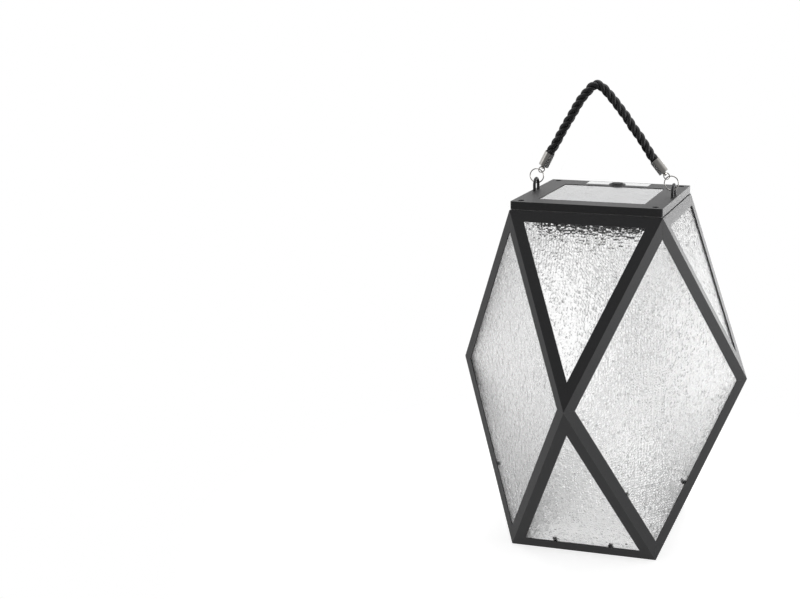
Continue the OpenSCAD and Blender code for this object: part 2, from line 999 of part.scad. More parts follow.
eyelet(1);  // eyelet_right
eyelet_nuts();
large_ring(-1);  // large_ring_left
large_ring(1);  // large_ring_right
small_ring(-1);  // small_ring_left
small_ring(1);  // small_ring_right
ferrule(-1);  // ferrule_left
ferrule(1);  // ferrule_right
rope_handle();
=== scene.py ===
# %% [markdown]
# # A faceted solar lantern
# The lantern is a folded steel cage with twelve hammered glass panes, a black solar lid and a twisted rope
# handle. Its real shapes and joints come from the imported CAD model. This lesson dresses that model: it
# keeps every CAD piece whose shape is already right and gives it a finish, and it remakes the two things a
# solid can't show, the rope's twist and the dimples in the glass.

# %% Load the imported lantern
import json
import math

import bpy
import numpy as np
from mathutils import Matrix, Vector


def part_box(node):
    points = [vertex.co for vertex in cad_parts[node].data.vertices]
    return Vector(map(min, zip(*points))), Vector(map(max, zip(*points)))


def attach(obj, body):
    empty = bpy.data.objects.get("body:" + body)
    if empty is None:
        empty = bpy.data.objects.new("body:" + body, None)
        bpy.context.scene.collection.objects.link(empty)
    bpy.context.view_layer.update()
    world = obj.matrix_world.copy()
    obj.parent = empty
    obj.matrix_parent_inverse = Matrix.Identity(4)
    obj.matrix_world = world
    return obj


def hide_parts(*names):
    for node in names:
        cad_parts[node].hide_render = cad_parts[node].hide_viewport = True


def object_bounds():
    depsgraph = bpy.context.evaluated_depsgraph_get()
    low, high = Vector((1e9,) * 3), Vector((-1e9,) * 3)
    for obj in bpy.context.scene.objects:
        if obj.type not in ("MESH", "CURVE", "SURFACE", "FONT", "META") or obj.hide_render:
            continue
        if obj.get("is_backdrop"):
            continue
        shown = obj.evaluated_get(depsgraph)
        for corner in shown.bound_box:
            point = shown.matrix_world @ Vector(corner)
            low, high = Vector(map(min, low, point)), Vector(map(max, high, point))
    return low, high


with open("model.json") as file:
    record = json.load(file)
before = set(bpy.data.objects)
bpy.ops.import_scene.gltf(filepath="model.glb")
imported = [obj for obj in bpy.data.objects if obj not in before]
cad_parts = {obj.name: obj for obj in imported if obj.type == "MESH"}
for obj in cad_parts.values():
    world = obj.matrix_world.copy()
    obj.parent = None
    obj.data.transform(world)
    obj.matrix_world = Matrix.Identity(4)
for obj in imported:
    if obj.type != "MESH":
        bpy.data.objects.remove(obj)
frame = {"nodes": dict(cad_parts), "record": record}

cad_low, cad_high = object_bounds()
cad_nodes = frame["nodes"]
MM = 0.001
lid_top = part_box("solar_lid")[1].z
print(f"{len(cad_nodes)} CAD nodes, {cad_high.z / MM:.1f} mm tall, lid top at {lid_top / MM:.1f} mm")

# %% [markdown]
# ## Camera
# The picture is taken from a little right of the front and a little above the lid. The camera could be
# aimed with a Track To constraint, but a fitted view also has a small roll and an optical axis that is off
# the middle of the frame, so the three camera axes are written out and the lens shift takes up the offset.

# %% Camera
IMAGE_WIDTH, IMAGE_HEIGHT = 800, 599
FOCAL_LENGTH_PX = 1247.4
OPTICAL_AXIS_PX = (600, 300)
CAMERA_DISTANCE = 1273 * MM
AIM_HEIGHT = 244.33 * MM
AIM_TO_LEFT = 3.075 * MM
azimuth, elevation, roll = (math.radians(a) for a in (13.855, 14.086, 0.531))

backward = Vector((
    math.sin(azimuth) * math.cos(elevation),
    -math.cos(azimuth) * math.cos(elevation),
    math.sin(elevation),
))
level_right = Vector((math.cos(azimuth), math.sin(azimuth), 0))
level_up = backward.cross(level_right)
camera_right = level_right * math.cos(roll) + level_up * math.sin(roll)
camera_up = level_up * math.cos(roll) - level_right * math.sin(roll)
aim = Vector((0, 0, AIM_HEIGHT)) - level_right * AIM_TO_LEFT
camera_place = aim + backward * CAMERA_DISTANCE

camera_data = bpy.data.cameras.new("camera")
camera_data.sensor_width = 36
camera_data.lens = FOCAL_LENGTH_PX / IMAGE_WIDTH * camera_data.sensor_width
camera_data.shift_x = 0.5 - OPTICAL_AXIS_PX[0] / IMAGE_WIDTH
camera_data.shift_y = (OPTICAL_AXIS_PX[1] - IMAGE_HEIGHT / 2) / IMAGE_WIDTH
camera = bpy.data.objects.new("camera", camera_data)
axes = Matrix((camera_right, camera_up, backward)).transposed()
camera.matrix_world = Matrix.Translation(camera_place) @ axes.to_4x4()
bpy.context.scene.collection.objects.link(camera)
bpy.context.scene.camera = camera
bpy.context.scene.view_settings.view_transform = "Standard"
print(f"lens {camera_data.lens:.2f} mm, shift {camera_data.shift_x:.3f}, {camera_data.shift_y:.4f}")

# %% [markdown]
# ## Rope route
# The handle is a short rope that rises from one crimped ferrule, bends over in a narrow peak and comes down
# into the other. A Bezier curve would do for the path, but its handles are hard to read as sizes, so the
# route is a list of points, in millimetres across the lantern and above the lid, the same as in the CAD
# source. A Catmull-Rom curve runs through all of them, and is then cut into equal steps.

# %% Rope route
ROPE_DIAMETER = 9.4 * MM
rope_route_mm = [
    (-62.3, 26.2), (-55.9, 38.6), (-49.9, 48), (-44.8, 57.5), (-39.3, 67), (-33.8, 76), (-28.9, 84.5),
    (-23.5, 93), (-17.6, 100), (-12.6, 105.2), (-8, 107), (-3.4, 105), (2, 100.2), (8.4, 93), (14.9, 85),
    (21.7, 76.5), (28.1, 67), (35.2, 58), (42.6, 47), (50.2, 35.6), (59.5, 24.3),
]
ROPE_STEP = 0.8 * MM


def smooth_line(points, per_span=24):
    """Catmull-Rom curve through points, as an array of closely spaced points."""
    points = np.asarray(points, float)
    padded = np.vstack([2 * points[0] - points[1], points, 2 * points[-1] - points[-2]])
    t = np.linspace(0, 1, per_span, endpoint=False)[:, None]
    spans = []
    for p0, p1, p2, p3 in zip(padded, padded[1:], padded[2:], padded[3:]):
        spans.append(
            p1 + 0.5 * t * (p2 - p0 + t * (2 * p0 - 5 * p1 + 4 * p2 - p3 + t * (3 * (p1 - p2) + p3 - p0)))
        )
    return np.vstack(spans + [points[-1:]])


def even_steps(line, step):
    """The same line, with points at equal distances along it."""
    along = np.concatenate([[0], np.cumsum(np.linalg.norm(np.diff(line, axis=0), axis=1))])
    marks = np.linspace(0, along[-1], round(along[-1] / step) + 1)
    return np.column_stack([np.interp(marks, along, line[:, k]) for k in range(3)]), marks


route = np.array([(x * MM, 0, lid_top + z * MM) for x, z in rope_route_mm])
rope_line, rope_marks = even_steps(smooth_line(route), ROPE_STEP)
rope_length = rope_marks[-1]
print(f"rope is {rope_length / MM:.0f} mm long, in {len(rope_line)} steps")

# %% [markdown]
# ## Rope strands
# Three plump strands are laid in a right-hand twist, and each strand is itself a bundle of yarns. A Screw
# modifier can twist a straight profile, but not along a bent line, so each strand is a helix around the
# route, and a tube with a softly lobed section is swept along that helix. The lobes turn slowly and become
# the yarns. The sweep keeps its section from spinning by carrying one side vector along the line.

# %% Rope strands
STRANDS = 3
LAY_LENGTH = 25 * MM
STRAND_RADIUS = 2.37 * MM
STRAND_OFFSET = ROPE_DIAMETER / 2 - STRAND_RADIUS
YARNS = 8
YARN_DEPTH = 0.045
YARN_TURN = 14 * MM
STRAND_SIDES = 40
FERRULE_LENGTH = 14 * MM
SQUEEZED = 0.82
SQUEEZE_RUN = 3 * MM


def unit_rows(rows):
    return rows / np.linalg.norm(rows, axis=1, keepdims=True)


def carried_sides(line):
    """Tangent and two side vectors at each point, with no spin about the line."""
    ahead = unit_rows(np.gradient(line, axis=0))
    side = np.cross(ahead[0], (0, 1, 0.1))
    sides = []
    for direction in ahead:
        side = side - direction * (side @ direction)
        side = side / np.linalg.norm(side)
        sides.append(side)
    sides = np.array(sides)
    return ahead, sides, np.cross(ahead, sides)


def tube_faces(rings, around, first=0):
    """Quads between rings of points, and the two faces that close the ends."""
    sides = []
    for i in range(rings - 1):
        for k in range(around):
            a, b = first + i * around + k, first + i * around + (k + 1) % around
            sides.append((a, b, b + around, a + around))
    last = first + (rings - 1) * around
    return sides, [tuple(range(first + around - 1, first - 1, -1)), tuple(range(last, last + around))]


def new_piece(name, points, faces, flat_faces, body):
    """A mesh object that rides a body. Its last faces are shaded flat, the others smooth."""
    mesh = bpy.data.meshes.new(name)
    mesh.from_pydata([tuple(p) for p in points], [], faces)
    smooth = len(faces) - flat_faces
    mesh.polygons.foreach_set("use_smooth", [k < smooth for k in range(len(faces))])
    piece = bpy.data.objects.new(name, mesh)
    bpy.context.scene.collection.objects.link(piece)
    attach(piece, body)
    return piece


_, across, beside = carried_sides(rope_line)
from_end = np.minimum(rope_marks, rope_length - rope_marks)
squeeze = 1 - (1 - SQUEEZED) * np.clip((FERRULE_LENGTH - from_end) / SQUEEZE_RUN, 0, 1)
rope_points, rope_sides, rope_ends, rope_uv = [], [], [], []
for strand in range(STRANDS):
    turn = 2 * math.pi * (rope_marks / LAY_LENGTH + strand / STRANDS)
    out = np.cos(turn)[:, None] * across + np.sin(turn)[:, None] * beside
    helix = rope_line + STRAND_OFFSET * squeeze[:, None] * out
    _, helix_across, helix_beside = carried_sides(helix)
    first = len(rope_points)
    for i, centre in enumerate(helix):
        for k in range(STRAND_SIDES):
            a = 2 * math.pi * k / STRAND_SIDES
            yarn = YARNS * (a + 2 * math.pi * rope_marks[i] / YARN_TURN / YARNS)
            r = squeeze[i] * STRAND_RADIUS * (1 - YARN_DEPTH + YARN_DEPTH * abs(math.cos(yarn / 2)))
            rope_points.append(centre + r * (math.cos(a) * helix_across[i] + math.sin(a) * helix_beside[i]))
            rope_uv.append((k / STRAND_SIDES, rope_marks[i]))
    sides, ends = tube_faces(len(helix), STRAND_SIDES, first)
    rope_sides += sides
    rope_ends += ends

rope = new_piece("twisted_rope", rope_points, rope_sides + rope_ends, len(rope_ends), "handle")
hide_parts("rope_handle")
print(f"rope has {len(rope_points)} points")

# %% [markdown]
# ## Hammered panes
# The glass is clear but dimpled all over, like frozen rain, so that what stands behind a pane breaks up
# into specks. A Displace modifier with a Voronoi texture comes close, but gives sharp creases. Here each
# pane is read from its CAD solid: the outer face is rebuilt as a fine grid, and each grid point is set back
# by the smooth distance to the nearest of many scattered dimple centres. The inner face stays flat and the
# rim closes the pane.

# %% Hammered panes
DIMPLE_SIZE = 4.4 * MM
DIMPLE_DEPTH = 0.7 * MM
DIMPLE_SOFTNESS = 9.0
DIMPLE_SCATTER = (0.08, 0.92)
DIMPLE_UNEVEN = 0.05
PANE_STEP = 1.0 * MM
SEED_TABLE = 97
FIRST_SEED = 40
CELLS_BEFORE_ZERO = 200


def pane_corners(node):
    """Corners of the outer and inner face of a CAD pane, in order round it, and its outward direction."""
    corners = np.unique(np.round([v.co for v in cad_nodes[node].data.vertices], 6), axis=0)
    middle = corners.mean(0)
    outward = np.linalg.svd(corners - middle)[2][2]
    if outward @ (middle * (1, 1, 0)) < 0:
        outward = -outward
    across = unit_rows(np.cross((0, 0, 1), outward)[None])[0]
    upward = np.cross(outward, across)
    height = (corners - middle) @ outward
    faces = []
    for face in (corners[height > 0], corners[height < 0]):
        around = np.arctan2((face - middle) @ upward, (face - middle) @ across)
        faces.append(face[np.argsort(around)])
    return faces[0], faces[1], outward, across, upward


def dimple_height(flat, draw):
    """Smooth cellular relief at points of a plane, at most 0."""
    jitter = draw.uniform(*DIMPLE_SCATTER, (SEED_TABLE, SEED_TABLE, 2))
    lift = draw.uniform(-DIMPLE_UNEVEN, DIMPLE_UNEVEN, (SEED_TABLE, SEED_TABLE))
    spot = flat / DIMPLE_SIZE + CELLS_BEFORE_ZERO
    cell = np.floor(spot).astype(int)
    total = np.zeros(len(flat))
    for di in (-1, 0, 1):
        for dj in (-1, 0, 1):
            near = cell + (di, dj)
            pick = near[:, 0] % SEED_TABLE, near[:, 1] % SEED_TABLE
            gap = spot - near - jitter[pick]
            total += np.exp(-DIMPLE_SOFTNESS * ((gap**2).sum(1) + lift[pick]))
    relief = np.log(total) / DIMPLE_SOFTNESS
    return DIMPLE_DEPTH * (relief - relief.max())


def face_grid(corners):
    """Even grid over a triangle or a diamond: points, faces, and the rim in order."""
    count = max(2, round(np.linalg.norm(corners[1] - corners[0]) / PANE_STEP))
    points, index, faces = [], {}, []
    three = len(corners) == 3
    for i in range(count + 1):
        for j in range(count + 1 - (i if three else 0)):
            index[i, j] = len(points)
            u, v = i / count, j / count
            points.append(corners[0] + u * (corners[1] - corners[0]) + v * (corners[-1] - corners[0]))
    for i in range(count):
        for j in range(count - (i if three else 0)):
            a, b, c = index[i, j], index[i + 1, j], index[i, j + 1]
            d = index.get((i + 1, j + 1))
            faces.append((a, b, c) if d is None else (a, b, d, c))
    steps = range(count)
    if three:
        rim = [(i, 0) for i in steps] + [(count - k, k) for k in steps] + [(0, count - k) for k in steps]
    else:
        rim = [(i, 0) for i in steps] + [(count, j) for j in steps]
        rim += [(count - i, count) for i in steps] + [(0, count - j) for j in steps]
    return np.array(points), faces, [index[k] for k in rim]


panes = {}
pane_nodes = [n for n in cad_nodes if "_pane_" in n and not n.endswith("clips")]
for number, node in enumerate(sorted(pane_nodes)):
    outer, inner, outward, across, upward = pane_corners(node)
    thickness = (outer.mean(0) - inner.mean(0)) @ outward
    points, faces, rim = face_grid(outer)
    flat = np.column_stack([points @ across, points @ upward])
    relief = dimple_height(flat, np.random.default_rng(FIRST_SEED + number))
    front = points + relief[:, None] * outward
    back_rim = points[rim] - thickness * outward
    back = [len(points) + k for k in range(len(rim))]
    for k in range(len(rim)):
        n = (k + 1) % len(rim)
        faces.append((rim[n], rim[k], back[k], back[n]))
    faces.append(tuple(reversed(back)))
    points = np.vstack([front, back_rim])
    pane = new_piece("hammered_" + node, points, faces, len(rim) + 1, "lantern")
    hammered_side = pane.data.attributes.new("hammered", "FLOAT", "POINT")
    hammered_side.data.foreach_set("value", [float(k < len(front)) for k in range(len(points))])
    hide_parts(node)
    panes[node] = pane
    print(f"{pane.name}: {len(front)} points, relief {np.ptp(relief) / MM:.2f} mm deep")

# %% [markdown]
# ## Node helpers
# Materials are built from nodes in code. They could be drawn by hand in the Shader Editor and appended, but
# code shows every number. A few small helpers keep it readable: one adds a node and fills its inputs with
# numbers or links, one starts a reusable node group with named sockets, and the rest stand for the nodes
# used most.

# %% Node helpers


def put(tree, kind, inputs=None, **settings):
    """Adds a node, sets its properties, then links or sets its inputs."""
    node = tree.nodes.new(kind)
    for key, value in settings.items():
        setattr(node, key, value)
    for key, value in (inputs or {}).items():
        if isinstance(value, bpy.types.NodeSocket):
            tree.links.new(value, node.inputs[key])
        else:
            node.inputs[key].default_value = value
    return node


def new_group(name, inputs, outputs):
    group = bpy.data.node_groups.new(name, "ShaderNodeTree")
    for socket, kind, value in inputs:
        group.interface.new_socket(socket, in_out="INPUT", socket_type=kind).default_value = value
    for socket, kind in outputs:
        group.interface.new_socket(socket, in_out="OUTPUT", socket_type=kind)
    entry = group.nodes.new("NodeGroupInput").outputs
    exits = group.nodes.new("NodeGroupOutput").inputs
    return group, entry, exits


def use_group(tree, group, inputs):
    return put(tree, "ShaderNodeGroup", inputs, node_tree=group).outputs


def new_finish(name, **sockets):
    """A material with one Principled shader, whose plain sockets are set by name."""
    material = bpy.data.materials.new(name)
    material.use_nodes = True
    tree = material.node_tree
    tree.nodes.clear()
    shader = tree.nodes.new("ShaderNodeBsdfPrincipled")
    result = tree.nodes.new("ShaderNodeOutputMaterial")
    tree.links.new(shader.outputs["BSDF"], result.inputs["Surface"])
    for key, value in sockets.items():
        shader.inputs[key.replace("_", " ")].default_value = value
    return material, tree, shader


def math_node(tree, operation, first, second):
    return put(tree, "ShaderNodeMath", {0: first, 1: second}, operation=operation).outputs[0]


def from_to(tree, value, start, end, low, high, curve="LINEAR"):
    """Maps start..end of a value to low..high, and holds it there beyond."""
    return put(tree, "ShaderNodeMapRange", {
        "Value": value, "From Min": start, "From Max": end, "To Min": low, "To Max": high,
    }, interpolation_type=curve).outputs[0]


def mixed(tree, share, first, second):
    """Blend of two colours."""
    return put(tree, "ShaderNodeMix", {0: share, 6: first, 7: second}, data_type="RGBA").outputs[2]


def own_place(tree):
    """Position in the lantern's frame, which stays with a piece when it moves."""
    return put(tree, "ShaderNodeTexCoord").outputs["Object"]


def noise(tree, place, scale, detail):
    inputs = {"Vector": place, "Scale": scale, "Detail": detail}
    return put(tree, "ShaderNodeTexNoise", inputs).outputs["Fac"]


def from_noise(tree, value, low, high):
    """Spreads the middle of a noise, where nearly all its values lie, over low..high."""
    return from_to(tree, value, 0.3, 0.7, low, high)


def rgb(red, green, blue):
    return (red, green, blue, 1)


FLOAT, COLOUR = "NodeSocketFloat", "NodeSocketColor"

# %% [markdown]
# ## Shared effects
# Painted steel, moulded plastic and rubber all have a fine grain, only of different sizes. Corners of
# painted and plated pieces are a little brighter, partly rubbed and partly a painted highlight along the
# folds. Smooth pieces carry a faint uneven film from handling. Each of these effects is one node group, so
# that every finish below sets only its own amounts.

# %% Fine grain group
grain_group, entry, exits = new_group(
    "fine grain",
    [("Colour", COLOUR, rgb(0.5, 0.5, 0.5)), ("Tint", FLOAT, 0.2), ("Roughness", FLOAT, 0.5),
     ("Spread", FLOAT, 0.05), ("Size", FLOAT, MM)],
    [("Colour", COLOUR), ("Roughness", FLOAT), ("Height", FLOAT)],
)
density = math_node(grain_group, "DIVIDE", 1.0, entry["Size"])
grain = noise(grain_group, own_place(grain_group), density, 3.0)
low = math_node(grain_group, "SUBTRACT", 1.0, entry["Tint"])
high = math_node(grain_group, "ADD", 1.0, entry["Tint"])
shade = from_noise(grain_group, grain, low, high)
tinted = put(
    grain_group, "ShaderNodeVectorMath", {0: entry["Colour"], "Scale": shade}, operation="SCALE"
).outputs[0]
smoother = math_node(grain_group, "SUBTRACT", entry["Roughness"], entry["Spread"])
rougher = math_node(grain_group, "ADD", entry["Roughness"], entry["Spread"])
gloss = from_noise(grain_group, grain, smoother, rougher)
grain_group.links.new(tinted, exits["Colour"])
grain_group.links.new(gloss, exits["Roughness"])
grain_group.links.new(grain, exits["Height"])
print("fine grain group made")

# %% Rubbed edges and painted highlight group
# The mask lightens edges: partly rubbed paint, partly a painted highlight along the folds.
NO_RUB_OR_HIGHLIGHT_COSINE, FULL_RUB_AND_HIGHLIGHT_COSINE = 0.995, 0.9
RUB_AND_HIGHLIGHT_PATCH = 1 / 160
rub_and_highlight_group, entry, exits = new_group(
    "rubbed edges and painted highlight", [("Width", FLOAT, 0.6 * MM), ("Amount", FLOAT, 0.5)], [("Mask", FLOAT)]
)
rounded = put(rub_and_highlight_group, "ShaderNodeBevel", {"Radius": entry["Width"]}, samples=6).outputs[0]
true_normal = put(rub_and_highlight_group, "ShaderNodeNewGeometry").outputs["Normal"]
same = put(rub_and_highlight_group, "ShaderNodeVectorMath", {0: rounded, 1: true_normal}, operation="DOT_PRODUCT")
edge = from_to(rub_and_highlight_group, same.outputs["Value"], NO_RUB_OR_HIGHLIGHT_COSINE, FULL_RUB_AND_HIGHLIGHT_COSINE, 0.0, 1.0)
patchy = noise(rub_and_highlight_group, own_place(rub_and_highlight_group), 1 / RUB_AND_HIGHLIGHT_PATCH, 4.0)
broken = from_to(rub_and_highlight_group, patchy, 0.3, 0.65, 0.15, 1.0)
part = math_node(rub_and_highlight_group, "MULTIPLY", edge, broken)
mask = math_node(rub_and_highlight_group, "MULTIPLY", part, entry["Amount"])
rub_and_highlight_group.links.new(mask, exits["Mask"])
print("rubbed edges and painted highlight group made")

# %% Cloudy film group
film_group, entry, exits = new_group(
    "cloudy film", [("Size", FLOAT, 0.03), ("Low", FLOAT, 0.1), ("High", FLOAT, 0.2)], [("Value", FLOAT)]
)
density = math_node(film_group, "DIVIDE", 1.0, entry["Size"])
cloud = noise(film_group, own_place(film_group), density, 5.0)
film = from_noise(film_group, cloud, entry["Low"], entry["High"])
film_group.links.new(film, exits["Value"])
print("cloudy film group made")

# %% [markdown]
# ## Painted steel and moulded plastic
# The cage has a satin black powder coat: tiny pits and bumps that scatter light, with paler folds, partly
# thinner paint and partly a painted highlight. The lid is a black moulding with a slightly coarser grain,
# and the gasket is grey rubber, painted pale as a highlight line under the lid.
# Each could be a material of its own, but they differ only in their amounts, so one function makes them
# all, and the screws, boards and cells as well.

# %% Grained finishes


def grained_finish(name, colour, tint, roughness, spread, size, bump, edge=None, **sockets):
    material, tree, shader = new_finish(name, **sockets)
    grain = use_group(tree, grain_group, {
        "Colour": rgb(*colour), "Tint": tint, "Roughness": roughness, "Spread": spread, "Size": size,
    })
    colour_out = grain["Colour"]
    if edge:
        # Edges are mixed toward a paler colour: partly rubbed wear, partly a painted highlight.
        rub_and_highlight = use_group(tree, rub_and_highlight_group, {"Width": edge["width"], "Amount": edge["amount"]})["Mask"]
        colour_out = mixed(tree, rub_and_highlight, colour_out, rgb(*edge["colour"]))
    tree.links.new(colour_out, shader.inputs["Base Color"])
    tree.links.new(grain["Roughness"], shader.inputs["Roughness"])
    relief = put(tree, "ShaderNodeBump", {"Height": grain["Height"], "Strength": 1.0, "Distance": bump})
    tree.links.new(relief.outputs[0], shader.inputs["Normal"])
    return material


finishes = {
    "powder_coat": grained_finish(
        "powder_coat", (0.021, 0.021, 0.0225), 0.3, 0.46, 0.08, 0.9 * MM, 0.05 * MM,
        edge={"width": 0.8 * MM, "amount": 0.5, "colour": (0.13, 0.13, 0.135)}, Specular_IOR_Level=0.5,
    ),
    "lid_plastic": grained_finish(
        "lid_plastic", (0.023, 0.023, 0.024), 0.25, 0.5, 0.06, 1.1 * MM, 0.06 * MM,
        edge={"width": 0.5 * MM, "amount": 0.5, "colour": (0.11, 0.11, 0.112)}, Specular_IOR_Level=0.4,
    ),
    # The gasket's pale grey is a painted highlight: it stands for the light line along the frame's top fold.
    "gasket_rubber": grained_finish(
        "gasket_rubber", (0.36, 0.36, 0.36), 0.2, 0.8, 0.06, 1.5 * MM, 0.03 * MM, Specular_IOR_Level=0.2,
    ),
    "black_screw": grained_finish(
        "black_screw", (0.012, 0.012, 0.013), 0.3, 0.4, 0.1, 0.7 * MM, 0.02 * MM,
        edge={"width": 0.2 * MM, "amount": 0.8, "colour": (0.2, 0.2, 0.2)},
    ),
    "button_rubber": grained_finish(
        "button_rubber", (0.012, 0.012, 0.0125), 0.2, 0.6, 0.08, 1.2 * MM, 0.04 * MM, Specular_IOR_Level=0.3,
    ),
    "label_film": grained_finish(
        "label_film", (0.86, 0.87, 0.87), 0.03, 0.2, 0.06, 2.0 * MM, 0.01 * MM,
    ),
    "wire_sleeve": grained_finish(
        "wire_sleeve", (0.018, 0.018, 0.018), 0.25, 0.42, 0.08, 1.0 * MM, 0.02 * MM,
    ),
    "lens_white": grained_finish(
        "lens_white", (0.84, 0.83, 0.79), 0.03, 0.35, 0.05, 1.6 * MM, 0.03 * MM,
    ),
    "led_white": grained_finish(
        "led_white", (0.82, 0.8, 0.7), 0.06, 0.4, 0.06, 2.5 * MM, 0.02 * MM,
    ),
    "circuit_laminate": grained_finish(
        "circuit_laminate", (0.02, 0.11, 0.045), 0.35, 0.3, 0.08, 2.2 * MM, 0.03 * MM,
    ),
    "cell_wrap": grained_finish(
        "cell_wrap", (0.05, 0.16, 0.09), 0.12, 0.28, 0.05, 6.0 * MM, 0.02 * MM,
    ),
}
print(f"{len(finishes)} grained finishes")

# %% [markdown]
# ## Plated metal
# The rings and ferrules are nickel plated, a grey metal that shows the white room on its sides and the dark
# one in front. A plain metal shader with one roughness would look like new chrome. Real plating has fine
# polishing lines and a faint film, so roughness comes from the film group and the normal from a stretched
# noise.

# %% Nickel plate
LINES_PER_METRE = (900, 900, 120)
nickel, tree, shader = new_finish("nickel_plate", Metallic=1.0)
film = use_group(tree, film_group, {"Size": 6 * MM, "Low": 0.19, "High": 0.24})["Value"]
tree.links.new(film, shader.inputs["Roughness"])
warmth = use_group(tree, film_group, {"Size": 9 * MM, "Low": 0.0, "High": 1.0})["Value"]
metal = mixed(tree, warmth, rgb(0.42, 0.41, 0.395), rgb(0.52, 0.5, 0.47))
tree.links.new(metal, shader.inputs["Base Color"])
stretched = put(
    tree, "ShaderNodeMapping", {"Vector": own_place(tree), "Scale": LINES_PER_METRE}
).outputs[0]
lines = noise(tree, stretched, 1.0, 2.0)
relief = put(tree, "ShaderNodeBump", {"Height": lines, "Strength": 0.5, "Distance": 0.01 * MM}).outputs[0]
tree.links.new(relief, shader.inputs["Normal"])
finishes["nickel_plate"] = nickel
print("nickel plate made")

# %% [markdown]
# ## Rope fibre
# The cord is black, silky and tightly twisted. Its strands are real geometry. The material adds the finest
# level, single filaments, as a bump that runs along each strand, and a sheen for the fuzz that catches
# light along the outline. A UV map made with the strands tells the material which way the filaments run.

# %% Rope fibre
FILAMENTS_AROUND, FILAMENTS_ALONG = 90, 14
uv_layer = rope.data.uv_layers.new(name="strand")
for loop in rope.data.loops:
    around, along = rope_uv[loop.vertex_index]
    uv_layer.data[loop.index].uv = (around, along / LAY_LENGTH)
fibre, tree, shader = new_finish(
    "rope_fibre", Sheen_Weight=0.08, Sheen_Roughness=0.4, Specular_IOR_Level=0.45,
)
strand_uv = put(tree, "ShaderNodeUVMap", uv_map="strand").outputs[0]
filaments = put(tree, "ShaderNodeMapping", {
    "Vector": strand_uv, "Scale": (FILAMENTS_AROUND, FILAMENTS_ALONG, 1),
}).outputs[0]
fine = noise(tree, filaments, 1.0, 2.0)
fibre_colour = mixed(tree, fine, rgb(0.002, 0.002, 0.0022), rgb(0.011, 0.011, 0.012))
tree.links.new(fibre_colour, shader.inputs["Base Color"])
tree.links.new(from_noise(tree, fine, 0.38, 0.6), shader.inputs["Roughness"])
relief = put(tree, "ShaderNodeBump", {"Height": fine, "Strength": 0.7, "Distance": 0.12 * MM}).outputs[0]
tree.links.new(relief, shader.inputs["Normal"])
finishes["rope_fibre"] = fibre
print("rope fibre made")

# %% [markdown]
# ## Hammered glass
# The panes are obscured glass, pressed all over with small granules. Each granule bends the view another
# way, so the white room breaks up into pale grains, and the dark housing under the lid into black specks.
# The wide dimples are geometry. Granules as geometry would need millions of faces, so they are a Voronoi
# texture: each cell is a small dome with a lean and a painted tone of its own, dark specks on a few cells
# and a faint mottle on all, as painted shade for dark things bent into view. These act only where light
# enters the outer face. The inner face is clear for a view straight through and blurs a slanted one, in
# which many granules overlap and even out. At a steep slant the glass frosts, and its colour is darkened as
# painted shade. The Layer Weight node gives the slant.

# %% Granules
GRANULE_SIZE = 2.5 * MM
GRANULE_DEPTH = 1.2 * MM
GRANULE_LEAN = 0.7
SLANT_LEAN = 0.6
EVEN_FROM, EVEN_AT = 0.3, 0.5
hammered, tree, shader = new_finish("hammered_glass", Transmission_Weight=1.0, IOR=1.45)
granule = put(
    tree, "ShaderNodeTexVoronoi", {"Vector": own_place(tree), "Scale": 1 / GRANULE_SIZE}
).outputs
outer_side = put(tree, "ShaderNodeAttribute", attribute_name="hammered").outputs["Fac"]
leaving = put(tree, "ShaderNodeNewGeometry").outputs["Backfacing"]
entering = math_node(tree, "MULTIPLY", outer_side, math_node(tree, "SUBTRACT", 1.0, leaving))
slant = put(tree, "ShaderNodeLayerWeight", {"Blend": 0.5}).outputs["Facing"]
steady = from_to(tree, slant, EVEN_FROM, EVEN_AT, 1.0, SLANT_LEAN)
squarely = math_node(tree, "MULTIPLY", steady, math_node(tree, "SUBTRACT", 1.0, slant))
amount = math_node(tree, "MULTIPLY", entering, squarely)
bulge = math_node(tree, "MULTIPLY", granule["Distance"], granule["Distance"])
dome = put(tree, "ShaderNodeBump", {
    "Height": math_node(tree, "MULTIPLY", bulge, amount), "Strength": 1.0, "Distance": GRANULE_DEPTH,
}, invert=True).outputs[0]
own_lean = put(
    tree, "ShaderNodeVectorMath", {0: granule["Color"], 1: (0.5, 0.5, 0.5)}, operation="SUBTRACT"
).outputs[0]
lean = put(tree, "ShaderNodeVectorMath", {
    0: own_lean, "Scale": math_node(tree, "MULTIPLY", amount, GRANULE_LEAN),
}, operation="SCALE").outputs[0]
leaning = put(tree, "ShaderNodeVectorMath", {0: dome, 1: lean}, operation="ADD").outputs[0]
facing = put(tree, "ShaderNodeVectorMath", {0: leaning}, operation="NORMALIZE").outputs[0]
tree.links.new(facing, shader.inputs["Normal"])
print(f"granules of {GRANULE_SIZE / MM:.1f} mm")

# %% Frosting and painted shade of the granules
CLEAR_ROUGHNESS, BLUR_ROUGHNESS = 0.08, 0.5
BLUR_FROM, BLUR_AT = 0.05, 0.15
SLANT_FROSTING = 0.1
SPECK_SHARE, SPECK_TONE = 0.1, 0.4
MOTTLE_TONE = 0.08
SLANT_SPOTS = 0.4
SLANT_TONE = 0.85
DARK_FROM, DARK_AT = 0.52, 0.75
film = use_group(tree, film_group, {"Size": 25 * MM, "Low": 0.22, "High": 0.26})["Value"]
steep = from_to(tree, slant, DARK_FROM, DARK_AT, 0.0, SLANT_FROSTING)
outer = math_node(tree, "ADD", film, steep)
inner = from_to(tree, slant, BLUR_FROM, BLUR_AT, CLEAR_ROUGHNESS, BLUR_ROUGHNESS)
frosting = put(tree, "ShaderNodeMix", {0: entering, 2: inner, 3: outer}).outputs[0]
tree.links.new(frosting, shader.inputs["Roughness"])
chance = put(tree, "ShaderNodeSeparateColor", {0: granule["Color"]}).outputs
